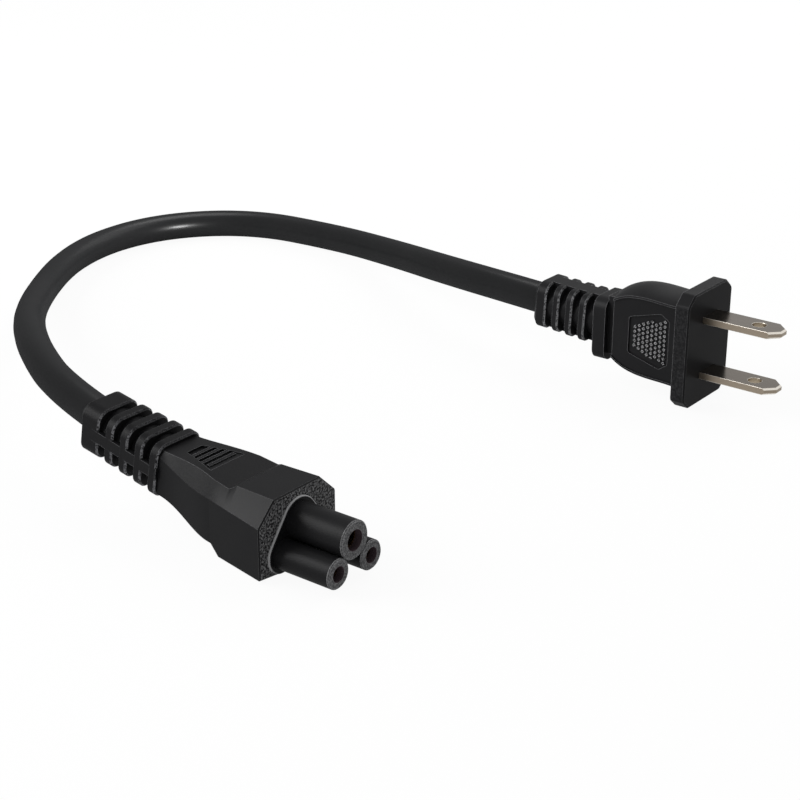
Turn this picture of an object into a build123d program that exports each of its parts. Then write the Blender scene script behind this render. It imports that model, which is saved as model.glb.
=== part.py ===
"""Cloverleaf power cord: a short round lead with a moulded cloverleaf connector and a moulded two-blade plug.

Millimetres, +Z up, z = 0 is the surface that the lead lies on. +X points out of both mating faces,
+Y runs from the connector to the plug.
"""

import os
from math import cos, hypot, radians, sin, tan

from build123d import *

os.makedirs("parts", exist_ok=True)

# Places on the surface: the ends of the connector's barrels, and the plug's flange face
CONNECTOR_X = 19.3
CONNECTOR_Y = -55.7
PLUG_X = 26.6
PLUG_Y = 56.8

# Lead
CORD_D = 7.2
CORE_D = 2.4
STRAND_D = 1.2
CORE_GAP = 0.3
JACKET_INSET = 3.0
BARE_LENGTH = 1.0

# Middle of the lead's route, from the connector to the plug
ROUTE = [
    (-85.0, -38.5, 16.0),
    (-129.0, 0.0, 4.2),
    (-155.0, 37.5, 3.6),
    (-154.2, 65.5, 3.6),
    (-135.6, 87.6, 3.6),
    (-104.5, 93.3, 3.8),
    (-76.5, 79.0, 7.8),
    (-47.5, 61.5, 13.0),
]
ROUTE_LEAD_OUT = 7.9
ROUTE_LEAD_IN = 6.0
BEND_SHARE = 0.45

# Cloverleaf snout
PIN_SPACING = 9.1
PAIR_HEIGHT = 4.0
EARTH_RISE = 4.8
LIVE_BARREL_D = 5.8
LEAF_GAP = 0.02
SNOUT_LENGTH = 13.0
SNOUT_EDGE = 0.25
LIVE_MOUTH_D = 3.0
EARTH_MOUTH_D = 4.0
MOUTH_DEPTH = 1.6
ROOT_LENGTH = 7.0
LIP_MARGIN = 0.95
LIP_PROUD = 0.4
LIP_SEAT = 1.5
LIP_EDGE = 0.2

# Contacts
LIVE_BORE_D = 2.6
EARTH_BORE_D = 3.4
SLEEVE_WALL = 0.45
SLEEVE_DEPTH = 9.0
CRIMP_WALL = 0.55
CRIMP_LENGTH = 4.0
EARTH_STUB = 2.0

# Connector body: shoulder, raised panel, heel and tail
HEAD_WIDTH = 21.0
HEAD_HEIGHT = 15.0
HEAD_FLAT = 12.4
HEAD_DROP = 4.1
SOLE_WIDTH = 10.0
SOLE_RISE = 0.7
PANEL_LENGTH = 9.0
PANEL_RAMP = 1.4
PANEL_STEP = 0.7
PANEL_FLAT = 11.8
HEAD_LENGTH = 12.4
VALLEY_FLAT = 13.2
REAR_WIDTH = 15.3
REAR_FLAT = 12.6
REAR_DROP = 3.5
HEEL_RAMP = 2.2
HEEL_RISE = 1.9
TAIL_BACK = 20.0
TAIL_WIDTH = 13.4
TAIL_FLAT = 10.4
TAIL_DROP = 3.6
TAIL_LIFT = 0.6
TAIL_UNDER = 2.9
NAPE_BACK = 24.8
NAPE_WIDTH = 11.4
NAPE_FLAT = 9.2
NAPE_DROP = 2.6
NAPE_LIFT = 0.7
NAPE_UNDER = 4.7
NECK_BACK = 29.8
NECK_HEIGHT = 11.2
NECK_WIDTH = 10.4
NECK_FLAT = 8.6
NECK_DROP = 1.1
NECK_ABOVE = 4.7
NECK_BELOW = 5.1
UNDER_FLAT = 0.8
HEAD_EDGE = 0.3

# Thumb grip on the tail: a tapering pocket crossed by bars
GRIP_FRONT = 16.8
GRIP_LENGTH = 8.3
GRIP_WIDE = 9.0
GRIP_NARROW = 4.0
GRIP_DEPTH = 0.35
GRIP_BARS = 4
GRIP_PITCH = 1.6
GRIP_BAR = 0.75
GRIP_BAR_LENGTH = 7.0

# Slotted strain relief of the connector
RELIEF_TILT = 10.5
RELIEF_WALL = 0.9
RIBS = 4
RIB_PITCH = 4.0
RIB_THICKNESS = 2.1
RIB_WIDTH = 11.7
RIB_HEIGHT = 11.3
RIB_CORNER = 2.6
RIB_EDGE = 0.35
COLLAR_LENGTH = 5.2
COLLAR_WIDTH = 10.6
COLLAR_HEIGHT = 10.6
COLLAR_EDGE = 0.9
SPINE = 2.4

# Plug: flange, grip body, bar and slotted relief
BLADE_SPACING = 12.7
BLADE_WIDTH = 6.35
BLADE_THICKNESS = 1.5
BLADE_LENGTH = 17.5
BLADE_TIP = 2.0
BLADE_BEVEL = 0.35
BLADE_HOLE_D = 3.1
BLADE_HOLE_X = 11.7
BLADE_ROOT = 7.0
TANG_WIDTH = 3.0
TANG_LENGTH = 2.5
FLANGE_WIDTH = 19.0
FLANGE_HEIGHT = 26.0
FLANGE_THICKNESS = 3.3
FLANGE_CORNER_Y = 2.6
FLANGE_CORNER_Z = 2.2
FLANGE_CORNER = 1.2
FLANGE_EDGE = 0.35
BODY_WIDTH = 11.6
BODY_CROWN = 1.4
BODY_LIP = 0.45
BODY_FLUSH = 0.35
BODY_HEIGHT = 18.8
BODY_LENGTH = 20.8
BODY_NARROW = 13.8
BODY_FLARE = 17.2
BODY_SWELL = 18.4
BODY_DIP = -0.25
BODY_RISE = 0.55
FLARE_BACK = 17.2
SWELL_BACK = 13.0
WAIST = 2.1
WAIST_WIDTH = 8.4
WAIST_HEIGHT = 13.6
BAR_THICKNESS = 3.1
BAR_WIDTH = 11.0
BAR_HEIGHT = 14.6
BAR_DROP = 0.75
PLUG_TILT = 3.0
PLUG_RISE = 0.4
PLUG_RIBS = 3
PLUG_RIB_GAP = 2.4
PLUG_RIB_PITCH = 3.53
PLUG_RIB_THICKNESS = 1.8
PLUG_RIB_WIDTH = 11.0
PLUG_RIB_HEIGHT = 11.3
PLUG_COLLAR_LENGTH = 3.3
PLUG_COLLAR_WIDTH = 10.4
PLUG_COLLAR_HEIGHT = 11.0
PLUG_SPINE = 4.0
BRIDGE_WIDTH = 8.4
BRIDGE_HEIGHT = 16.6
BRIDGE_LENGTH = 7.0
BRIDGE_COVER = 2.0

# Grip panel on each side of the plug: a sunk hexagon with staggered studs
PAD_FRONT = 6.8
PAD_PEAK = 8.9
PAD_BACK = 16.8
PAD_NOSE = 10.0
PAD_TALL = 12.8
PAD_SHORT = 8.4
PAD_CORNER = 0.8
PAD_DEPTH = 0.35
STUD_SIZE = 0.68
STUD_FRONT = 7.8
STUD_PITCH = 1.06
STUD_COLUMNS = 8
STUDS_TALL = 10
STUDS_SHORT = 6


def across(x, y, z=0.0):
    """Plane square to +X at a point, with its own x along +Y and its own y up."""
    return Plane((x, y, z), x_dir=(0, 1, 0), z_dir=(1, 0, 0))


def tilted(x, y, z, degrees):
    """The same plane, turned so that its back points up by some degrees."""
    return Plane((x, y, z), x_dir=(0, 1, 0), z_dir=(cos(radians(degrees)), 0, -sin(radians(degrees))))


def between(start, end, share):
    """Value part of the way from one size to another."""
    return start + (end - start) * share


def house(plane, width, flat, drop, top, bottom, sole):
    """Section of the connector's body: flat below and above, upright sides, sloping shoulders."""
    right = [(sole / 2, bottom), (width / 2, bottom + SOLE_RISE), (width / 2, top - drop), (flat / 2, top)]
    left = [(-y, z) for y, z in reversed(right)]
    with BuildSketch(plane) as section:
        with BuildLine():
            Polyline(*right, *left, close=True)
        make_face()
    return section.sketch


def rod(start, end, diameter):
    """Round rod between two planes, its ends lying in them."""
    with BuildPart() as bar:
        for plane in (start, end):
            with BuildSketch(plane):
                Circle(diameter / 2)
        loft(ruled=True)
    return bar.part


def finish(part, name):
    """Name a finished piece and write it."""
    part.label = name
    export_step(part, f"parts/{name}.step")


# Reference places that several pieces share
shoulder_x = CONNECTOR_X - SNOUT_LENGTH
root_x = shoulder_x - ROOT_LENGTH
neck_x = shoulder_x - NECK_BACK
relief = tilted(neck_x, CONNECTOR_Y, NECK_HEIGHT, RELIEF_TILT)
relief_length = RIBS * RIB_PITCH + COLLAR_LENGTH
earth_height = PAIR_HEIGHT + EARTH_RISE
earth_barrel_d = 2 * (hypot(PIN_SPACING / 2, EARTH_RISE) - LEAF_GAP) - LIVE_BARREL_D
barrel_places = [
    (-PIN_SPACING / 2, PAIR_HEIGHT, LIVE_BARREL_D),
    (PIN_SPACING / 2, PAIR_HEIGHT, LIVE_BARREL_D),
    (0, earth_height, earth_barrel_d),
]

plug_axis = FLANGE_HEIGHT / 2
bar_front = PLUG_X - BODY_LENGTH - WAIST
bar_back = bar_front - BAR_THICKNESS
plug_relief = tilted(bar_back, PLUG_Y, plug_axis + PLUG_RISE, PLUG_TILT)
plug_relief_length = PLUG_RIB_GAP + PLUG_RIBS * PLUG_RIB_PITCH + PLUG_COLLAR_LENGTH
bridge_front = PLUG_X - BRIDGE_COVER
bridge_back = bridge_front - BRIDGE_LENGTH
tang_back = PLUG_X - BLADE_ROOT - TANG_LENGTH
core_offset = (CORE_D + CORE_GAP) / 2

# Lead: a round jacket from inside one strain relief to inside the other
jacket_start = relief.from_local_coords(Vector(0, 0, JACKET_INSET))
jacket_end = plug_relief.from_local_coords(Vector(0, 0, JACKET_INSET))
lead_out = relief.from_local_coords(Vector(0, 0, -relief_length - ROUTE_LEAD_OUT))
lead_in = plug_relief.from_local_coords(Vector(0, 0, -plug_relief_length - ROUTE_LEAD_IN))
route = [jacket_start, lead_out, *[Vector(*point) for point in ROUTE], lead_in, jacket_end]
runs = [end - start for start, end in zip(route, route[1:])]
bend_radii = []
for before, after in zip(runs, runs[1:]):
    half_turn = radians(before.get_angle(after)) / 2
    bend_radii.append(BEND_SHARE * min(before.length, after.length) / tan(half_turn))
with BuildPart() as cord_jacket:
    with BuildLine() as cord_path:
        FilletPolyline(*route, radius=bend_radii)
    with BuildSketch(Plane(cord_path.line @ 0, z_dir=cord_path.line % 0)):
        Circle(CORD_D / 2)
    sweep(path=cord_path.line)
print("cord runs  ", [round(run.length, 1) for run in runs])
print("cord turns ", [round(a.get_angle(b), 1) for a, b in zip(runs, runs[1:])])
print("cord radii ", [round(radius, 1) for radius in bend_radii])

# Cores inside the connector: from the jacket's end to the two crimps
crimp_x = root_x - CRIMP_LENGTH
connector_cores = {}
connector_strands = {}
for name, side in (("line", -1), ("neutral", 1)):
    jacket_face = relief.offset(JACKET_INSET).shift_origin(
        relief.from_local_coords(Vector(side * core_offset, 0, JACKET_INSET)))
    entry = across(crimp_x - BARE_LENGTH, CONNECTOR_Y + side * PIN_SPACING / 2, PAIR_HEIGHT)
    connector_cores[name] = rod(jacket_face, entry, CORE_D)
    connector_strands[name] = rod(entry, entry.offset(BARE_LENGTH + CRIMP_LENGTH), STRAND_D)

# Cores inside the plug: from the jacket's end up and down to the two blades
plug_cores = {}
plug_strands = {}
for name, side in (("line", 1), ("neutral", -1)):
    jacket_face = plug_relief.offset(JACKET_INSET).shift_origin(
        plug_relief.from_local_coords(Vector(0, side * core_offset, JACKET_INSET)))
    entry = across(tang_back - CRIMP_LENGTH - BARE_LENGTH, PLUG_Y, plug_axis + side * BLADE_SPACING / 2)
    plug_cores[name] = rod(jacket_face, entry, CORE_D)
    plug_strands[name] = rod(entry, entry.offset(BARE_LENGTH + CRIMP_LENGTH), STRAND_D)


def barrel(place, mouth_d, bore_d):
    """One leaf of the snout: a tube with a mouth and a seat for its contact."""
    y, z, barrel_d = place
    with BuildPart() as leaf:
        with BuildSketch(across(root_x, CONNECTOR_Y + y, z)):
            Circle(barrel_d / 2)
        extrude(amount=SNOUT_LENGTH + ROOT_LENGTH)
        chamfer(faces().sort_by(Axis.X)[-1].edges(), length=SNOUT_EDGE)
        with BuildSketch(across(CONNECTOR_X, CONNECTOR_Y + y, z)):
            Circle(mouth_d / 2)
        extrude(amount=-MOUTH_DEPTH, mode=Mode.SUBTRACT)
        with BuildSketch(across(root_x, CONNECTOR_Y + y, z)):
            Circle(bore_d / 2 + SLEEVE_WALL)
        extrude(amount=SNOUT_LENGTH + ROOT_LENGTH - MOUTH_DEPTH, mode=Mode.SUBTRACT)
    return leaf.part


line_place, neutral_place, earth_place = barrel_places
line_barrel = barrel(line_place, LIVE_MOUTH_D, LIVE_BORE_D)
neutral_barrel = barrel(neutral_place, LIVE_MOUTH_D, LIVE_BORE_D)
earth_barrel = barrel(earth_place, EARTH_MOUTH_D, EARTH_BORE_D)

# Carrier plate: the lip that rings the three leaves at the shoulder and holds them together
with BuildPart() as carrier_plate:
    with BuildSketch(across(shoulder_x - LIP_SEAT, CONNECTOR_Y)):
        for y, z, barrel_d in barrel_places:
            with Locations((y, z)):
                Circle(barrel_d / 2 + LIP_MARGIN)
        make_hull()
    extrude(amount=LIP_SEAT + LIP_PROUD)
    chamfer(faces().sort_by(Axis.X)[-1].edges(), length=LIP_EDGE)
    with BuildSketch(across(shoulder_x - LIP_SEAT, CONNECTOR_Y)):
        for y, z, barrel_d in barrel_places:
            with Locations((y, z)):
                Circle(barrel_d / 2)
    extrude(amount=LIP_SEAT + LIP_PROUD, mode=Mode.SUBTRACT)


def contact(y, z, bore_d, tail_length, wired):
    """Turned sleeve with a plain shank, and a crimp barrel where a wire ends in it."""
    front = across(CONNECTOR_X - MOUTH_DEPTH, CONNECTOR_Y + y, z)
    back = across(root_x, CONNECTOR_Y + y, z)
    with BuildPart() as sleeve:
        with BuildSketch(back):
            Circle(bore_d / 2 + SLEEVE_WALL)
        extrude(amount=CONNECTOR_X - MOUTH_DEPTH - root_x)
        with BuildSketch(front):
            Circle(bore_d / 2)
        extrude(amount=-SLEEVE_DEPTH, mode=Mode.SUBTRACT)
        with BuildSketch(back):
            Circle(STRAND_D / 2 + CRIMP_WALL)
        extrude(amount=-tail_length)
        if wired:
            with BuildSketch(back):
                Circle(STRAND_D / 2)
            extrude(amount=-tail_length, mode=Mode.SUBTRACT)
    return sleeve.part


line_contact = contact(-PIN_SPACING / 2, PAIR_HEIGHT, LIVE_BORE_D, CRIMP_LENGTH, True)
neutral_contact = contact(PIN_SPACING / 2, PAIR_HEIGHT, LIVE_BORE_D, CRIMP_LENGTH, True)
earth_contact = contact(0, earth_height, EARTH_BORE_D, EARTH_STUB, False)


def slotted_relief(plane, count, pitch, thickness, first_gap, near, collar, collar_length, spine, upright):
    """Strain relief behind a plane: rounded ribs and an end collar on a round core, held by two spines."""
    collar_front = first_gap + count * pitch
    with BuildPart() as sleeve:
        for index in range(count):
            front = first_gap + index * pitch
            share = front / collar_front
            with BuildSketch(plane.offset(-front - thickness)):
                RectangleRounded(between(near[0], collar[0], share), between(near[1], collar[1], share), RIB_CORNER)
            extrude(amount=thickness)
            chamfer(faces(Select.LAST).filter_by(plane).edges(), length=RIB_EDGE)
        with BuildSketch(plane.offset(-collar_front - collar_length)):
            RectangleRounded(*collar, RIB_CORNER)
        extrude(amount=collar_length)
        chamfer(faces().filter_by(plane).sort_by(Axis.X)[0].edges(), length=COLLAR_EDGE)
        chamfer(faces().filter_by(plane).sort_by(Axis.X)[1].edges(), length=RIB_EDGE)
        with BuildSketch(plane):
            Circle(CORD_D / 2 + RELIEF_WALL)
        extrude(amount=-collar_front - thickness)
        for distance, size in ((0, near), (collar_front + thickness, collar)):
            with BuildSketch(plane.offset(-distance)):
                if upright:
                    Rectangle(spine, size[1])
                else:
                    Rectangle(size[0], spine)
        loft(ruled=True)
    return sleeve.part


connector_relief = slotted_relief(
    relief, RIBS, RIB_PITCH, RIB_THICKNESS, 0.0, (RIB_WIDTH, RIB_HEIGHT), (COLLAR_WIDTH, COLLAR_HEIGHT),
    COLLAR_LENGTH, SPINE, False)

# Sections of the connector's body, from the shoulder to the neck
heel_back = HEAD_LENGTH + HEEL_RAMP
ramp_back = PANEL_LENGTH + PANEL_RAMP
valley = HEAD_HEIGHT - PANEL_STEP
tail_ridge = HEAD_HEIGHT + TAIL_LIFT
nape_ridge = HEAD_HEIGHT + NAPE_LIFT
climb = (HEAD_LENGTH - ramp_back) / (heel_back - ramp_back)


def head(back, flat, top, bottom):
    """Section of the head: its sides and eaves run straight from the shoulder to the heel."""
    width = between(HEAD_WIDTH, REAR_WIDTH, back / heel_back)
    eaves = HEAD_HEIGHT - between(HEAD_DROP, REAR_DROP, back / heel_back)
    return house(across(shoulder_x - back, CONNECTOR_Y), width, flat, top - eaves, top, bottom, SOLE_WIDTH)


head_sections = [
    house(across(shoulder_x, CONNECTOR_Y), HEAD_WIDTH - 2 * HEAD_EDGE, HEAD_FLAT - HEAD_EDGE,
          HEAD_DROP - HEAD_EDGE / 2, HEAD_HEIGHT - HEAD_EDGE, HEAD_EDGE, SOLE_WIDTH),
    head(HEAD_EDGE, HEAD_FLAT, HEAD_HEIGHT, 0),
    head(PANEL_LENGTH, PANEL_FLAT, HEAD_HEIGHT, 0),
    head(ramp_back, VALLEY_FLAT, valley, 0),
    head(HEAD_LENGTH, between(VALLEY_FLAT, REAR_FLAT, climb), between(valley, HEAD_HEIGHT, climb), 0),
    head(heel_back, REAR_FLAT, HEAD_HEIGHT, HEEL_RISE),
]
tail_sections = [
    head(heel_back, REAR_FLAT, HEAD_HEIGHT, HEEL_RISE),
    house(across(shoulder_x - TAIL_BACK, CONNECTOR_Y), TAIL_WIDTH, TAIL_FLAT, TAIL_DROP,
          tail_ridge, TAIL_UNDER, TAIL_WIDTH * UNDER_FLAT),
    house(across(shoulder_x - NAPE_BACK, CONNECTOR_Y), NAPE_WIDTH, NAPE_FLAT, NAPE_DROP,
          nape_ridge, NAPE_UNDER, NAPE_WIDTH * UNDER_FLAT),
    house(relief, NECK_WIDTH, NECK_FLAT, NECK_DROP, NECK_ABOVE, -NECK_BELOW, NECK_WIDTH * UNDER_FLAT),
]

# Connector moulding: shouldered head, tapering tail with a thumb grip, and the slotted relief
with BuildPart() as connector_overmould:
    loft(head_sections, ruled=True)
    loft(tail_sections)
    grip_front = shoulder_x - GRIP_FRONT
    with BuildSketch(Plane((grip_front, CONNECTOR_Y, tail_ridge - GRIP_DEPTH), x_dir=(1, 0, 0), z_dir=(0, 0, 1))):
        with BuildLine():
            Polyline((0, -GRIP_WIDE / 2), (0, GRIP_WIDE / 2), (-GRIP_LENGTH, GRIP_NARROW / 2),
                     (-GRIP_LENGTH, -GRIP_NARROW / 2), close=True)
        make_face()
        for index in range(GRIP_BARS):
            with Locations((-(index + 0.5) * GRIP_PITCH - GRIP_BAR, 0)):
                Rectangle(GRIP_BAR, GRIP_BAR_LENGTH, mode=Mode.SUBTRACT)
    extrude(amount=2 * GRIP_DEPTH, mode=Mode.SUBTRACT)
    add(connector_relief)
    for inner in (cord_jacket.part, carrier_plate.part, line_barrel, neutral_barrel, earth_barrel,
                  line_contact, neutral_contact, earth_contact,
                  *connector_cores.values(), *connector_strands.values()):
        add(inner, mode=Mode.SUBTRACT)


def blade(side):
    """Flat pin with a cut-cornered tip and a hole, a narrower tang inside, and a crimp barrel at its end."""
    height = plug_axis + side * BLADE_SPACING / 2
    with BuildPart() as pin:
        with BuildSketch(Plane((PLUG_X, PLUG_Y, height - BLADE_THICKNESS / 2))):
            with Locations(((BLADE_LENGTH - BLADE_ROOT) / 2, 0)):
                Rectangle(BLADE_LENGTH + BLADE_ROOT, BLADE_WIDTH)
            chamfer(vertices().group_by(Axis.X)[-1], length=BLADE_TIP)
            with Locations((BLADE_HOLE_X, 0)):
                Circle(BLADE_HOLE_D / 2, mode=Mode.SUBTRACT)
            with Locations((-BLADE_ROOT - TANG_LENGTH / 2, 0)):
                Rectangle(TANG_LENGTH, TANG_WIDTH)
        extrude(amount=BLADE_THICKNESS)
        tip_edges = edges().filter_by(Plane.XY).filter_by_position(
            Axis.X, PLUG_X + BLADE_LENGTH - BLADE_TIP, PLUG_X + BLADE_LENGTH)
        chamfer(tip_edges, length=BLADE_BEVEL)
        with BuildSketch(across(tang_back, PLUG_Y, height)):
            Circle(STRAND_D / 2 + CRIMP_WALL)
        extrude(amount=-CRIMP_LENGTH)
        with BuildSketch(across(tang_back, PLUG_Y, height)):
            Circle(STRAND_D / 2)
        extrude(amount=-CRIMP_LENGTH, mode=Mode.SUBTRACT)
    return pin.part


line_blade = blade(1)
neutral_blade = blade(-1)

# Blade bridge: the hard block that keeps the two blades apart inside the plug
with BuildPart() as blade_bridge:
    with BuildSketch(across(bridge_back, PLUG_Y, plug_axis)):
        Rectangle(BRIDGE_WIDTH, BRIDGE_HEIGHT)
    extrude(amount=BRIDGE_LENGTH)
    add(line_blade, mode=Mode.SUBTRACT)
    add(neutral_blade, mode=Mode.SUBTRACT)


def grip_section(back, height):
    """Section of the plug's body: crowned above and below, with flat sides set in under a lip."""
    half = height / 2
    edge = BODY_WIDTH / 2
    flush = edge - BODY_FLUSH
    under = half - BODY_LIP
    lift = between(BODY_DIP, BODY_RISE, (back - FLANGE_THICKNESS) / (BODY_LENGTH - FLANGE_THICKNESS))
    with BuildSketch(across(PLUG_X - back, PLUG_Y, plug_axis + lift)) as section:
        with BuildLine():
            ThreePointArc((-edge, half), (0, half + BODY_CROWN), (edge, half))
            Polyline((edge, half), (edge, under), (flush, under), (flush, -under), (edge, -under), (edge, -half))
            ThreePointArc((edge, -half), (0, -half - BODY_CROWN), (-edge, -half))
            Polyline((-edge, -half), (-edge, -under), (-flush, -under), (-flush, under), (-edge, under), (-edge, half))
        make_face()
    return section.sketch


plug_relief_solid = slotted_relief(
    plug_relief, PLUG_RIBS, PLUG_RIB_PITCH, PLUG_RIB_THICKNESS, PLUG_RIB_GAP,
    (PLUG_RIB_WIDTH, PLUG_RIB_HEIGHT), (PLUG_COLLAR_WIDTH, PLUG_COLLAR_HEIGHT),
    PLUG_COLLAR_LENGTH, PLUG_SPINE, True)

# Plug moulding: chamfered flange, flaring grip body with studded side panels, bar and slotted relief
with BuildPart() as plug_overmould:
    loft([
        grip_section(BODY_LENGTH, BODY_NARROW),
        grip_section(FLARE_BACK, BODY_FLARE),
        grip_section(SWELL_BACK, BODY_SWELL),
        grip_section(FLANGE_THICKNESS, BODY_HEIGHT),
    ])
    side = BODY_WIDTH / 2 - BODY_FLUSH
    for outward in (-1, 1):
        pad = Plane((PLUG_X, PLUG_Y + outward * side, plug_axis), x_dir=(1, 0, 0), z_dir=(0, outward, 0))
        with BuildSketch(pad):
            with BuildLine():
                Polyline((-PAD_FRONT, -PAD_NOSE / 2), (-PAD_FRONT, PAD_NOSE / 2), (-PAD_PEAK, PAD_TALL / 2),
                         (-PAD_BACK, PAD_SHORT / 2), (-PAD_BACK, -PAD_SHORT / 2), (-PAD_PEAK, -PAD_TALL / 2),
                         close=True)
            make_face()
            fillet(vertices(), radius=PAD_CORNER)
        extrude(amount=-PAD_DEPTH, mode=Mode.SUBTRACT)
        with BuildSketch(pad.offset(-PAD_DEPTH)):
            for column in range(STUD_COLUMNS):
                odd = column % 2
                studs = between(STUDS_TALL, STUDS_SHORT, column / (STUD_COLUMNS - 1))
                with Locations((-STUD_FRONT - column * STUD_PITCH, 0)):
                    with GridLocations(0, STUD_PITCH, 1, 2 * round((studs - odd) / 2) + odd):
                        RegularPolygon(STUD_SIZE / 2, 4)
        extrude(amount=PAD_DEPTH)
    with BuildSketch(across(PLUG_X - FLANGE_THICKNESS, PLUG_Y, plug_axis)):
        wide, tall = FLANGE_WIDTH / 2, FLANGE_HEIGHT / 2
        with BuildLine():
            Polyline((wide, -tall + FLANGE_CORNER_Z), (wide, tall - FLANGE_CORNER_Z), (wide - FLANGE_CORNER_Y, tall),
                     (FLANGE_CORNER_Y - wide, tall), (-wide, tall - FLANGE_CORNER_Z),
                     (-wide, FLANGE_CORNER_Z - tall), (FLANGE_CORNER_Y - wide, -tall),
                     (wide - FLANGE_CORNER_Y, -tall), close=True)
        make_face()
        fillet(vertices(), radius=FLANGE_CORNER)
    extrude(amount=FLANGE_THICKNESS)
    chamfer(faces().sort_by(Axis.X)[-1].edges(), length=FLANGE_EDGE)
    with BuildSketch(across(bar_back, PLUG_Y, plug_axis - BAR_DROP)):
        RectangleRounded(BAR_WIDTH, BAR_HEIGHT, RIB_CORNER)
    extrude(amount=BAR_THICKNESS)
    with BuildSketch(across(bar_front, PLUG_Y, plug_axis + BODY_RISE)):
        Rectangle(WAIST_WIDTH, WAIST_HEIGHT)
    extrude(amount=WAIST)
    add(plug_relief_solid)
    for inner in (cord_jacket.part, blade_bridge.part, line_blade, neutral_blade,
                  *plug_cores.values(), *plug_strands.values()):
        add(inner, mode=Mode.SUBTRACT)

finish(connector_overmould.part, "connector_overmould")
finish(carrier_plate.part, "carrier_plate")
finish(line_barrel, "line_barrel")
finish(neutral_barrel, "neutral_barrel")
finish(earth_barrel, "earth_barrel")
finish(line_contact, "line_contact")
finish(neutral_contact, "neutral_contact")
finish(earth_contact, "earth_contact")
finish(cord_jacket.part, "cord_jacket")
finish(plug_overmould.part, "plug_overmould")
finish(blade_bridge.part, "blade_bridge")
finish(line_blade, "line_blade")
finish(neutral_blade, "neutral_blade")
for name in ("line", "neutral"):
    finish(connector_cores[name], f"connector_{name}_core")
    finish(connector_strands[name], f"connector_{name}_strands")
    finish(plug_cores[name], f"plug_{name}_core")
    finish(plug_strands[name], f"plug_{name}_strands")

box = Compound([connector_overmould.part, line_barrel, plug_overmould.part, line_blade, cord_jacket.part])
print("the whole spans", box.bounding_box().min, box.bounding_box().max)
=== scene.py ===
import bpy
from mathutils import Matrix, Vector


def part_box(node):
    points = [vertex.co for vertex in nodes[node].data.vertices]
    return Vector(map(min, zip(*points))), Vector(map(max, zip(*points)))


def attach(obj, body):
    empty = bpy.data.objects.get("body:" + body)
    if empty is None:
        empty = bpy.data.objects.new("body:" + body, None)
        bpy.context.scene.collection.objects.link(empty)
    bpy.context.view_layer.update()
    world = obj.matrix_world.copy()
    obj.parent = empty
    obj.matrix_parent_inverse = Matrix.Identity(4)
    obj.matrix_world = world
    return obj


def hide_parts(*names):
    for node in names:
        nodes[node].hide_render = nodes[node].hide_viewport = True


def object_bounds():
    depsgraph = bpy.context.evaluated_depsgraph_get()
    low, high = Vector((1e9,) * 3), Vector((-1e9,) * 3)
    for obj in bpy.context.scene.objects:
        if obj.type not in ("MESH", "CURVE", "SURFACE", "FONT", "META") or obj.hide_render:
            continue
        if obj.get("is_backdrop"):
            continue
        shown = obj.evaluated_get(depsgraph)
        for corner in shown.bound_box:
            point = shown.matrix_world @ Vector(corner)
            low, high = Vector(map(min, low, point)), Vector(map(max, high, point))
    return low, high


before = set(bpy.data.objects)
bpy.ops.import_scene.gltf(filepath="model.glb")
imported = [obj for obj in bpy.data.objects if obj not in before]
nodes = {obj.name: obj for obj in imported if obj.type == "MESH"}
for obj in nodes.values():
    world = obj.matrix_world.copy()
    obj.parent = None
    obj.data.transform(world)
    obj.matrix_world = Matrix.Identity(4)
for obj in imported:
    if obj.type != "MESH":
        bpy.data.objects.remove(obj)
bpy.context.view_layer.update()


# Connector moulding: the shouldered head, tapering tail and slotted strain relief, shot in one piece.
# It is black flexible PVC, injected round the carrier and the cord, with a fine spark-eroded skin
# from the mould and a coarser grain on the flat face that meets the appliance.
def linear(code):
    """sRGB hex colour as linear red, green, blue and alpha: the sRGB curve undone channel by channel."""
    channels = [int(code[i : i + 2], 16) / 255 for i in (1, 3, 5)]
    return [c / 12.92 if c <= 0.04045 else ((c + 0.055) / 1.055) ** 2.4 for c in channels] + [1.0]


def add(tree, kind, inputs=None, **settings):
    """Add one shader node: settings are its own properties, inputs are values or output sockets by name."""
    node = tree.nodes.new("ShaderNode" + kind)
    for name, value in settings.items():
        setattr(node, name, value)
    for name, value in (inputs or {}).items():
        if isinstance(value, bpy.types.NodeSocket):
            tree.links.new(value, node.inputs[name])
        else:
            node.inputs[name].default_value = value
    return node


def material_tree(name):
    """New material with an empty node tree."""
    material = bpy.data.materials.new(name)
    material.use_nodes = True
    material.node_tree.nodes.clear()
    return material, material.node_tree


def dress(material, *names):
    """Give CAD nodes one material all over."""
    for name in names:
        mesh = nodes[name].data
        mesh.materials.clear()
        mesh.materials.append(material)


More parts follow.
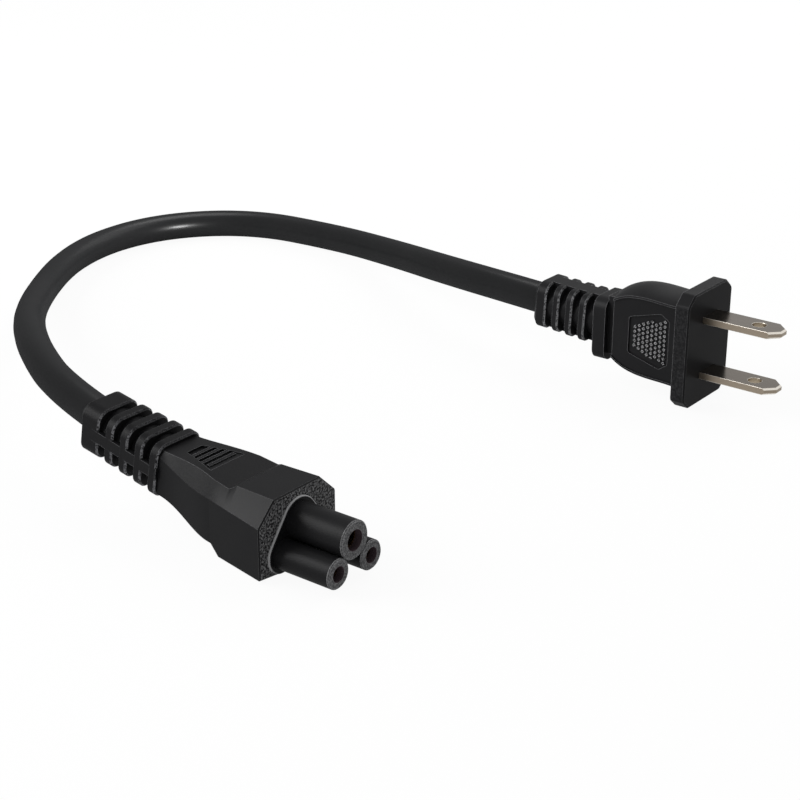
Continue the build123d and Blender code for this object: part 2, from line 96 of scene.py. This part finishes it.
def moulded_pvc(name, skin, edge_highlight, axis, middle, reach, face, grain, depth, rim=0.06):
    """Moulded black PVC: a fine eroded skin, a painted highlight on the proud edges, and grained faces across
    one axis.

    skin and face are each a dark and a light colour. All lengths are in mm: the faces stand at a reach
    from the middle, a rim is taken in with them, and their grain has a width and a depth.
    """
    material, tree = material_tree(name)
    place = add(tree, "TexCoord").outputs["Object"]

    # Melt that flows into the mould leaves a slow drift of tone and gloss over about a centimetre.
    drift_width = 9.0
    cloud = add(tree, "TexNoise", {
        "Vector": place, "Scale": 1000 / drift_width, "Detail": 4.0, "Roughness": 0.6})
    skin_colour = add(
        tree, "Mix", {"Factor": cloud.outputs["Fac"], "A": linear(skin[0]), "B": linear(skin[1])},
        data_type="RGBA")
    gloss = add(tree, "MapRange", {
        "Value": cloud.outputs["Fac"], "From Min": 0.3, "From Max": 0.7, "To Min": 0.42, "To Max": 0.52})

    # A mould's grain is typically about 0.15 mm wide. On the faces it is drawn coarser, so that it shows.
    face_blend = 0.03
    along = add(tree, "SeparateXYZ", {"Vector": place}).outputs[axis]
    offset = add(tree, "Math", {0: along, 1: middle / 1000}, operation="SUBTRACT")
    distance = add(tree, "Math", {0: offset.outputs[0]}, operation="ABSOLUTE")
    on_face = add(tree, "MapRange", {
        "Value": distance.outputs[0], "From Min": (reach - rim) / 1000,
        "From Max": (reach - rim + face_blend) / 1000})
    pebbles = add(tree, "TexNoise", {
        "Vector": place, "Scale": 1000 / grain, "Detail": 2.0, "Roughness": 0.55})
    peaks = add(tree, "MapRange", {"Value": pebbles.outputs["Fac"], "From Min": 0.42, "From Max": 0.66})
    face_colour = add(
        tree, "Mix", {"Factor": peaks.outputs["Result"], "A": linear(face[0]), "B": linear(face[1])},
        data_type="RGBA")
    colour = add(
        tree, "Mix", {
            "Factor": on_face.outputs["Result"], "A": skin_colour.outputs["Result"],
            "B": face_colour.outputs["Result"]},
        data_type="RGBA")

    # A painted highlight lies on the sharp edges that stand proud, within 0.18 mm, and leaves the hollow
    # corners black.
    edge_radius = 0.18
    hollow_reach = 0.7
    rounded = add(tree, "Bevel", {"Radius": edge_radius / 1000}, samples=6)
    facet = add(tree, "NewGeometry").outputs["True Normal"]
    bend = add(tree, "VectorMath", {0: rounded.outputs["Normal"], 1: facet}, operation="DOT_PRODUCT")
    edge = add(tree, "MapRange", {"Value": bend.outputs["Value"], "From Min": 0.98, "From Max": 0.80})
    hollow = add(tree, "AmbientOcclusion", {"Distance": hollow_reach / 1000}, samples=6)
    proud = add(
        tree, "MapRange", {"Value": hollow.outputs["AO"], "From Min": 0.70, "From Max": 0.95}, name="proud")
    edge_highlight_mask = add(
        tree, "Math", {0: edge.outputs["Result"], 1: proud.outputs["Result"]}, operation="MULTIPLY",
        name="edge_highlight_mask")
    highlighted = add(
        tree, "Mix", {"Factor": edge_highlight_mask.outputs[0], "A": colour.outputs["Result"], "B": linear(edge_highlight)},
        data_type="RGBA")

    # An eroded skin is typically about 0.05 mm fine. It is drawn at 0.35 mm, so that it breaks the gloss up.
    skin_grain = 0.35
    skin_depth = 0.03
    fine = add(tree, "TexNoise", {"Vector": place, "Scale": 1000 / skin_grain, "Detail": 2.0})
    eroded = add(tree, "Bump", {
        "Height": fine.outputs["Fac"], "Strength": 0.5, "Distance": skin_depth / 1000})
    pebbled = add(tree, "Bump", {
        "Height": pebbles.outputs["Fac"], "Strength": on_face.outputs["Result"], "Distance": depth / 1000,
        "Normal": eroded.outputs["Normal"]})

    # A thin satin coat carries the gloss, because PVC's full gloss would mirror the white surround as grey.
    surface = add(tree, "BsdfPrincipled", {
        "Base Color": highlighted.outputs["Result"], "Roughness": gloss.outputs["Result"], "IOR": 1.53,
        "Specular IOR Level": 0.005, "Normal": pebbled.outputs["Normal"], "Coat Weight": 0.11,
        "Coat Roughness": 0.34, "Coat IOR": 1.5, "Coat Normal": pebbled.outputs["Normal"]})
    add(tree, "OutputMaterial", {"Surface": surface.outputs["BSDF"]})
    return material


def overlay(material, mask, colour):
    """Lay one more colour over a moulding's base colour where a mask is 1."""
    tree = material.node_tree
    base = tree.nodes["Principled BSDF"].inputs["Base Color"]
    laid = add(
        tree, "Mix", {"Factor": mask, "A": base.links[0].from_socket, "B": linear(colour)}, data_type="RGBA")
    tree.links.new(laid.outputs["Result"], base)


def paint_rib_highlights(material, start, end, colour):
    """Paint a highlight in specks on the ribs' edges that slant towards the mating face, between two places
    along X in mm.

    An edge slants where its normal's X lies between that of a side, 0, and that of a wall, 1. The sides get
    more of the painted highlight than the tops. The specks are drawn 0.35 mm wide.
    """
    speck_width = 0.35
    tree = material.node_tree
    place = add(tree, "TexCoord")
    along = add(tree, "SeparateXYZ", {"Vector": place.outputs["Object"]}).outputs["X"]
    behind = add(tree, "Math", {0: along, 1: start / 1000}, operation="GREATER_THAN")
    ahead = add(tree, "Math", {0: along, 1: end / 1000}, operation="LESS_THAN")
    normal = add(tree, "SeparateXYZ", {"Vector": place.outputs["Normal"]})
    off_side = add(tree, "MapRange", {"Value": normal.outputs["X"], "From Min": 0.40, "From Max": 0.52})
    off_wall = add(tree, "MapRange", {"Value": normal.outputs["X"], "From Min": 0.93, "From Max": 0.86})
    aside = add(tree, "Math", {0: normal.outputs["Y"]}, operation="ABSOLUTE")
    on_side = add(tree, "MapRange", {
        "Value": aside.outputs[0], "From Min": 0.2, "From Max": 0.6, "To Min": 0.22, "To Max": 1.0})
    specks = add(tree, "TexNoise", {
        "Vector": place.outputs["Object"], "Scale": 1000 / speck_width, "Detail": 2.0})
    highlighted = add(tree, "MapRange", {"Value": specks.outputs["Fac"], "From Min": 0.36, "From Max": 0.62})
    mask = highlighted.outputs["Result"]
    for part in (
        behind.outputs[0], ahead.outputs[0], off_side.outputs["Result"], off_wall.outputs["Result"],
        on_side.outputs["Result"], tree.nodes["proud"].outputs["Result"],
    ):
        mask = add(tree, "Math", {0: mask, 1: part}, operation="MULTIPLY").outputs[0]
    overlay(material, mask, colour)


# Satin black PVC: deep and even to the eye, with a soft sheen on the slopes, a painted highlight on the proud
# edges and in pale specks along the ribs, and a pebbled grey front.
connector_pvc = moulded_pvc(
    "satin_black_connector_pvc", skin=("#101011", "#161617"), edge_highlight="#5c5c5e", axis="X", middle=-20.0,
    reach=26.3, face=("#0c0c0d", "#747475"), grain=0.42, depth=0.12)
paint_rib_highlights(connector_pvc, start=-45.0, end=-22.5, colour="#77777a")
dress(connector_pvc, "connector_overmould")

# Contact carrier: three barrels that plug into the appliance, joined by a lipped plate at their root.
# It is a harder black insert, moulded first and gripped by the connector's moulding.

# Hard black plastic: dark barrels with a pale painted highlight on their rims, and painted light on the end
# faces, grained a dull dark grey.
carrier = moulded_pvc(
    "hard_black_moulded_insert", skin=("#121213", "#181819"), edge_highlight="#b8b8ba", axis="X", middle=0.0,
    reach=19.3, face=("#404041", "#6c6c6d"), grain=0.3, depth=0.03, rim=0.32)

# The wall of each mouth is painted a dim warm tone: painted light, the glow of the brass behind it. The tone
# starts to fade
# 0.03 mm outside the mouth's radius, which is in mm.
WALL_START = 0.03
WALL_END = 0.07
for name, mouth_radius in (("line_barrel", 1.5), ("neutral_barrel", 1.5), ("earth_barrel", 2.0)):
    barrel = carrier.copy()
    barrel.name = "hard_black_" + name
    tree = barrel.node_tree
    low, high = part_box(name)
    axis = (low + high) / 2
    place = add(tree, "TexCoord").outputs["Object"]
    from_axis = add(tree, "VectorMath", {0: place, 1: axis}, operation="SUBTRACT")
    across = add(
        tree, "VectorMath", {0: from_axis.outputs["Vector"], 1: (0.0, 1.0, 1.0)}, operation="MULTIPLY")
    radius = add(tree, "VectorMath", {0: across.outputs["Vector"]}, operation="LENGTH")
    in_mouth = add(tree, "MapRange", {
        "Value": radius.outputs["Value"], "From Min": (mouth_radius + WALL_END) / 1000,
        "From Max": (mouth_radius + WALL_START) / 1000})
    overlay(barrel, in_mouth.outputs["Result"], "#40363a")
    dress(barrel, name)

# Lip with a painted highlight: a thin pale outline round the foot of the barrels, and black on the flat that
# they stand on.
lip = moulded_pvc(
    "black_lip_with_painted_highlight", skin=("#8a8a8b", "#9c9c9d"), edge_highlight="#b0b0b2", axis="X", middle=0.0, reach=6.7,
    face=("#0e0e0f", "#181819"), grain=0.3, depth=0.03)
dress(lip, "carrier_plate")

# Contacts: three sleeves that grip the inlet's pins, set back behind the barrels' mouths.
# They are turned from brass rod, pressed into the barrels, and dulled by the heat of moulding.

# Bare brass: a dim gold in the depth of the mouths. Turning marks are typically 0.1 mm apart. They are
# drawn 0.4 mm apart along the sleeve and 3.3 mm long round it, so that they show.
MARK_PITCH = 0.4
MARK_LENGTH = 10 / 3
brass, tree = material_tree("bare_turned_brass")
place = add(tree, "TexCoord").outputs["Object"]
lathe = add(tree, "Mapping", {
    "Vector": place, "Scale": (1000 / MARK_PITCH, 1000 / MARK_LENGTH, 1000 / MARK_LENGTH)})
rings = add(tree, "TexNoise", {"Vector": lathe.outputs["Vector"], "Scale": 1.0, "Detail": 3.0})
tarnish = add(
    tree, "Mix", {"Factor": rings.outputs["Fac"], "A": linear("#5a4632"), "B": linear("#7d6345")},
    data_type="RGBA")
sheen = add(tree, "MapRange", {"Value": rings.outputs["Fac"], "To Min": 0.25, "To Max": 0.45})
surface = add(tree, "BsdfPrincipled", {
    "Base Color": tarnish.outputs["Result"], "Metallic": 1.0, "Roughness": sheen.outputs["Result"]})
add(tree, "OutputMaterial", {"Surface": surface.outputs["BSDF"]})
dress(brass, "line_contact", "neutral_contact", "earth_contact")

# Cord: a round flexible mains lead from inside the connector's relief to inside the plug's relief.
# Its PVC jacket is extruded over two cores, and both mouldings are shot onto its ends.
# It lies on the surface in one open loop: a quadratic spline, with a circle carried along it.
CORD_DIAMETER = 0.0072
cord_route = [
    (-0.02055, -0.0557, 0.01065),
    (-0.05211, -0.0557, 0.01650),
    (-0.0849, -0.0380, 0.0160),
    (-0.1292, 0.0004, 0.0042),
    (-0.1520, 0.0354, 0.0036),
    (-0.1523, 0.0649, 0.0036),
    (-0.1340, 0.0857, 0.0036),
    (-0.1034, 0.0884, 0.0038),
    (-0.0741, 0.0772, 0.0078),
    (-0.0475, 0.0618, 0.0133),
    (-0.0160, 0.0568, 0.01427),
    (0.0036, 0.0568, 0.01324),
]
line = bpy.data.curves.new("cord", "CURVE")
line.dimensions = "3D"
spline = line.splines.new("NURBS")
spline.points.add(len(cord_route) - 1)
for point, (x, y, z) in zip(spline.points, cord_route):
    point.co = (x, y, z, 1.0)
spline.order_u = 3
spline.use_endpoint_u = True
spline.resolution_u = 24
line.bevel_depth = CORD_DIAMETER / 2
line.bevel_resolution = 10
cord = bpy.data.objects.new("cord", line)
bpy.context.collection.objects.link(cord)

# Extruded black PVC: smoother and a shade lighter than the mouldings, with a soft sheen along its top and
# one short streak. An extruded matt is typically about 0.05 mm fine. It is drawn at 0.4 mm, so that it
# softens the streak. The coat is thin but of a high IOR: the streak stays bright and the edges stay dark.
DRIFT_LENGTH = 14.0
WAVER_LENGTH = 4.0
MATT_GRAIN = 0.4
jacket, tree = material_tree("extruded_black_pvc_jacket")
place = add(tree, "TexCoord").outputs["Object"]
cloud = add(tree, "TexNoise", {"Vector": place, "Scale": 1000 / DRIFT_LENGTH, "Detail": 3.0})
colour = add(
    tree, "Mix", {"Factor": cloud.outputs["Fac"], "A": linear("#292a2b"), "B": linear("#303031")},
    data_type="RGBA")
gloss = add(tree, "MapRange", {
    "Value": cloud.outputs["Fac"], "From Min": 0.3, "From Max": 0.7, "To Min": 0.30, "To Max": 0.40})
waver = add(tree, "TexNoise", {"Vector": place, "Scale": 1000 / WAVER_LENGTH, "Detail": 1.0})
wave = add(tree, "Bump", {"Height": waver.outputs["Fac"], "Strength": 0.3, "Distance": 0.0001})
fine = add(tree, "TexNoise", {"Vector": place, "Scale": 1000 / MATT_GRAIN, "Detail": 2.0})
skin = add(tree, "Bump", {
    "Height": fine.outputs["Fac"], "Strength": 0.12, "Distance": 0.00002, "Normal": wave.outputs["Normal"]})
surface = add(tree, "BsdfPrincipled", {
    "Base Color": colour.outputs["Result"], "Roughness": gloss.outputs["Result"], "IOR": 1.53,
    "Specular IOR Level": 0.0, "Normal": skin.outputs["Normal"], "Coat Weight": 0.04, "Coat Roughness": 0.3,
    "Coat IOR": 2.2, "Coat Normal": skin.outputs["Normal"]})
add(tree, "OutputMaterial", {"Surface": surface.outputs["BSDF"]})
line.materials.append(jacket)
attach(cord, "root")
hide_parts("cord_jacket")

# Plug moulding: flange, flaring grip body with studded side panels, bar and slotted relief, in one shot.
# It is the same black PVC as the connector's, injected round the cord's end and the blades' bridge.

# Satin black PVC: a smooth outlet face, fine grain on the flange's edges, painted highlights on the edges and
# in specks along the ribs.
plug_pvc = moulded_pvc(
    "satin_black_plug_pvc", skin=("#141415", "#1b1b1c"), edge_highlight="#6e6e70", axis="Y", middle=56.8, reach=9.5,
    face=("#141415", "#242425"), grain=0.42, depth=0.08)

# Each stud of the grip pads gets a painted highlight on its crest, so the pads show as rows of pale dots.
# A pad is a trapezium about its middle, whose half height grows by the flare along X.
PAD_MIDDLE = (0.0148, 0.0568, 0.0130)
PAD_HALF_LENGTH = 0.0044
PAD_HALF_HEIGHT = 0.0041
PAD_FLARE = 0.28
tree = plug_pvc.node_tree
place = add(tree, "TexCoord").outputs["Object"]
from_pad = add(tree, "VectorMath", {0: place, 1: PAD_MIDDLE}, operation="SUBTRACT")
span = add(tree, "SeparateXYZ", {"Vector": from_pad.outputs["Vector"]})
along = add(tree, "Math", {0: span.outputs["X"]}, operation="ABSOLUTE")
height = add(tree, "Math", {0: span.outputs["Z"]}, operation="ABSOLUTE")
slant = add(
    tree, "Math", {0: span.outputs["X"], 1: -PAD_FLARE, 2: height.outputs[0]}, operation="MULTIPLY_ADD")
in_length = add(tree, "Math", {0: along.outputs[0], 1: PAD_HALF_LENGTH}, operation="LESS_THAN")
in_height = add(tree, "Math", {0: slant.outputs[0], 1: PAD_HALF_HEIGHT}, operation="LESS_THAN")
in_pad = add(tree, "Math", {0: in_length.outputs[0], 1: in_height.outputs[0]}, operation="MULTIPLY")
stud_crest_highlight = add(tree, "Math", {0: tree.nodes["edge_highlight_mask"].outputs[0], 1: 2.0}, operation="POWER")
painted_stud_highlights = add(tree, "Math", {0: in_pad.outputs[0], 1: stud_crest_highlight.outputs[0]}, operation="MULTIPLY")
overlay(plug_pvc, painted_stud_highlights.outputs[0], "#f0f0f2")
paint_rib_highlights(plug_pvc, start=-15.0, end=6.0, colour="#8a8a8c")
dress(plug_pvc, "plug_overmould")

# Blades: two flat pins with a lock hole and a cut-cornered tip, held in the plug by a bridge.
# They are stamped from rolled brass strip and then plated with nickel.
ARRIS_RADIUS = 0.0002
HOLE_AXIS = (0.0383, 0.0568, 0.0)
HOLE_WALL = 0.00162
HOLE_RIM = 0.00172

# Nickel plate: a warm grey metal, tan on the sheared sides, with a painted dark reflection on the rolled
# faces, painted light on the wall of the lock hole and a painted highlight along each arris. Rolling lines
# are typically some 0.02 mm wide. They are drawn 0.33 mm wide and 11 mm long, so that they show.
LINE_WIDTH = 1 / 3
LINE_LENGTH = 100 / 9
nickel, tree = material_tree("nickel_plated_brass")
place = add(tree, "TexCoord").outputs["Object"]
rolled = add(tree, "Mapping", {
    "Vector": place, "Scale": (1000 / LINE_LENGTH, 1000 / LINE_WIDTH, 1000 / LINE_WIDTH)})
streak = add(tree, "TexNoise", {
    "Vector": rolled.outputs["Vector"], "Scale": 1.0, "Detail": 2.0, "Roughness": 0.5})
rounded = add(tree, "Bevel", {"Radius": ARRIS_RADIUS}, samples=8)
upright = add(tree, "SeparateXYZ", {"Vector": rounded.outputs["Normal"]})
level = add(tree, "Math", {0: upright.outputs["Z"]}, operation="ABSOLUTE")
rolled_face = add(tree, "MapRange", {"Value": level.outputs[0], "From Min": 0.4, "From Max": 0.9})
# The rolled faces are painted darker than the sides: a painted dark reflection.
painted_dark_reflection = add(
    tree, "Mix", {"Factor": streak.outputs["Fac"], "A": linear("#504940"), "B": linear("#645b51")},
    data_type="RGBA")
# The lock hole's wall is painted lighter than the sides: painted light in the hole.
from_hole = add(tree, "VectorMath", {0: place, 1: HOLE_AXIS}, operation="SUBTRACT")
in_plan = add(tree, "VectorMath", {0: from_hole.outputs["Vector"], 1: (1.0, 1.0, 0.0)}, operation="MULTIPLY")
radius = add(tree, "VectorMath", {0: in_plan.outputs["Vector"]}, operation="LENGTH")
in_hole = add(tree, "MapRange", {
    "Value": radius.outputs["Value"], "From Min": HOLE_RIM, "From Max": HOLE_WALL})
cut = add(
    tree, "Mix", {"Factor": in_hole.outputs["Result"], "A": linear("#8e8375"), "B": linear("#a89b87")},
    data_type="RGBA")
plated = add(
    tree, "Mix", {
        "Factor": rolled_face.outputs["Result"], "A": cut.outputs["Result"],
        "B": painted_dark_reflection.outputs["Result"]},
    data_type="RGBA")
# A bright painted highlight runs along each arris, between a side and a rolled face.
off_side = add(tree, "MapRange", {"Value": level.outputs[0], "From Min": 0.08, "From Max": 0.35})
off_face = add(tree, "MapRange", {"Value": level.outputs[0], "From Min": 0.99, "From Max": 0.85})
painted_arris_highlight = add(
    tree, "Math", {0: off_side.outputs["Result"], 1: off_face.outputs["Result"]}, operation="MULTIPLY")
tint = add(
    tree, "Mix", {"Factor": painted_arris_highlight.outputs[0], "A": plated.outputs["Result"], "B": linear("#dcd6cc")},
    data_type="RGBA")
sheen = add(tree, "MapRange", {"Value": rolled_face.outputs["Result"], "To Min": 0.38, "To Max": 0.20})
lines = add(tree, "Bump", {
    "Height": streak.outputs["Fac"], "Strength": 0.08, "Distance": 0.00003,
    "Normal": rounded.outputs["Normal"]})
surface = add(tree, "BsdfPrincipled", {
    "Base Color": tint.outputs["Result"], "Metallic": 1.0, "Roughness": sheen.outputs["Result"],
    "Normal": lines.outputs["Normal"]})
add(tree, "OutputMaterial", {"Surface": surface.outputs["BSDF"]})
dress(nickel, "line_blade", "neutral_blade")

# Inner pieces: the two cores with their copper strands at each end, and the bridge that carries the blades.
# The cores are extruded PVC, black for line and white for neutral, and the bridge is a hard black insert.
# They are sealed in the mouldings, so their finishes are plain.
dress(carrier, "blade_bridge")
dress(jacket, "connector_line_core", "plug_line_core")

# White PVC: a warm white with a faint drift of tone over 3 mm.
CORE_DRIFT = 3.0
pale_pvc, tree = material_tree("extruded_white_pvc_core")
place = add(tree, "TexCoord").outputs["Object"]
cloud = add(tree, "TexNoise", {"Vector": place, "Scale": 1000 / CORE_DRIFT, "Detail": 2.0})
colour = add(
    tree, "Mix", {"Factor": cloud.outputs["Fac"], "A": linear("#d6d4cd"), "B": linear("#e2e0da")},
    data_type="RGBA")
surface = add(tree, "BsdfPrincipled", {
    "Base Color": colour.outputs["Result"], "Roughness": 0.45, "IOR": 1.53})
add(tree, "OutputMaterial", {"Surface": surface.outputs["BSDF"]})
dress(pale_pvc, "connector_neutral_core", "plug_neutral_core")

# Drawn copper: a satin red metal, mottled at the 0.3 mm of one strand.
STRAND_WIDTH = 0.3
copper, tree = material_tree("drawn_copper_strands")
place = add(tree, "TexCoord").outputs["Object"]
drawn = add(tree, "TexNoise", {"Vector": place, "Scale": 1000 / STRAND_WIDTH, "Detail": 2.0})
colour = add(
    tree, "Mix", {"Factor": drawn.outputs["Fac"], "A": linear("#a9603c"), "B": linear("#c97c52")},
    data_type="RGBA")
surface = add(tree, "BsdfPrincipled", {
    "Base Color": colour.outputs["Result"], "Metallic": 1.0, "Roughness": 0.35})
add(tree, "OutputMaterial", {"Surface": surface.outputs["BSDF"]})
dress(
    copper, "connector_line_strands", "connector_neutral_strands", "plug_line_strands",
    "plug_neutral_strands")


# Floor: a plain sweep of white paper under the cord, wider than any view.
# Matt white paper: almost all white to the eye, with the rest left to take a faint soft shadow.
def to_the_eye(tree):
    """1 on rays from the camera, from gloss or through clear material, as the greatest of the three, or 0."""
    rays = add(tree, "LightPath")
    seen = add(
        tree, "Math", {0: rays.outputs["Is Camera Ray"], 1: rays.outputs["Is Glossy Ray"]},
        operation="MAXIMUM")
    seen = add(
        tree, "Math", {0: seen.outputs[0], 1: rays.outputs["Is Transmission Ray"]}, operation="MAXIMUM")
    return seen.outputs[0]


WHITE_SHARE = 0.94
floor_mesh = bpy.data.meshes.new("floor")
floor_mesh.from_pydata([(-6, -6, 0), (6, -6, 0), (6, 6, 0), (-6, 6, 0)], [], [(0, 1, 2, 3)])
floor = bpy.data.objects.new("floor", floor_mesh)
bpy.context.collection.objects.link(floor)
paper, tree = material_tree("white_paper_sweep")
share = add(tree, "Math", {0: to_the_eye(tree), 1: WHITE_SHARE}, operation="MULTIPLY")
matt = add(tree, "BsdfDiffuse", {"Color": linear("#c8c8c8")})
glow = add(tree, "Emission", {"Color": linear("#ffffff"), "Strength": 1.0})
mixed = add(tree, "MixShader", {0: share.outputs[0], 1: matt.outputs["BSDF"], 2: glow.outputs["Emission"]})
add(tree, "OutputMaterial", {"Surface": mixed.outputs["Shader"]})
floor_mesh.materials.append(paper)
floor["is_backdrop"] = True

# Studio: a white surround for the camera and for reflections.
# As light on the cord it is a dimmer even fill.
world = bpy.data.worlds.new("studio")
bpy.context.scene.world = world
world.use_nodes = True
tree = world.node_tree
tree.nodes.clear()
fill = add(tree, "Background", {"Color": linear("#ffffff"), "Strength": 0.55})
white = add(tree, "Background", {"Color": linear("#ffffff"), "Strength": 1.0})
mixed = add(tree, "MixShader", {
    0: to_the_eye(tree), 1: fill.outputs["Background"], 2: white.outputs["Background"]})
add(tree, "OutputWorld", {"Surface": mixed.outputs["Shader"]})

# Lights: a soft box above and behind, flagged off the blades, whose faces would mirror it as white,
# a panel on the left that the sloping shoulders mirror, flagged off the cord,
# and two snooted lamps that add only gloss to the cord: the streak and the soft sheen on its top.
AIM = Vector((-0.03, 0.0, 0.0))
hard_pieces = bpy.data.collections.new("lit_by_panel")
all_but_blades = bpy.data.collections.new("lit_by_box")
cord_alone = bpy.data.collections.new("lit_by_snoot")
for piece in [*nodes.values(), floor]:
    hard_pieces.objects.link(piece)
    if piece not in (nodes["line_blade"], nodes["neutral_blade"]):
        all_but_blades.objects.link(piece)
all_but_blades.objects.link(cord)
cord_alone.objects.link(cord)
for name, place, size, power, reached in (
    ("top_box", (0.0, 0.60, 0.55), 0.60, 5.0, all_but_blades),
    ("left_panel", (-0.60, -0.38, 0.36), 0.60, 11.0, hard_pieces),
    ("streak_lamp", (0.55, -0.13, 0.12), 0.12, 22.0, cord_alone),
    ("sheen_strip", (-0.22, 0.25, 0.55), 0.30, 4.0, cord_alone),
):
    lamp = bpy.data.lights.new(name, "AREA")
    lamp.size = size
    lamp.energy = power
    box = bpy.data.objects.new(name, lamp)
    box.location = place
    box.rotation_mode = "QUATERNION"
    box.rotation_quaternion = (AIM - Vector(place)).to_track_quat("-Z", "Y")
    box.light_linking.receiver_collection = reached
    box.visible_diffuse = reached is not cord_alone
    bpy.context.collection.objects.link(box)

# Camera: the photograph's viewpoint, in front of the connector's snout, to one side of it and above.
# Its place, direction and lens are those of the camera fitted to the photograph.
VIEW_DIRECTION = Vector((-0.56537, 0.72802, -0.38774))
camera = bpy.data.objects.new("camera", bpy.data.cameras.new("camera"))
camera.data.sensor_width = 36.0
camera.data.lens = 79.35
camera.location = (0.19320, -0.26684, 0.15031)
camera.rotation_mode = "QUATERNION"
camera.rotation_quaternion = VIEW_DIRECTION.to_track_quat("-Z", "Y")
bpy.context.collection.objects.link(camera)
bpy.context.scene.camera = camera
bpy.context.scene.view_settings.view_transform = "Standard"

low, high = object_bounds()
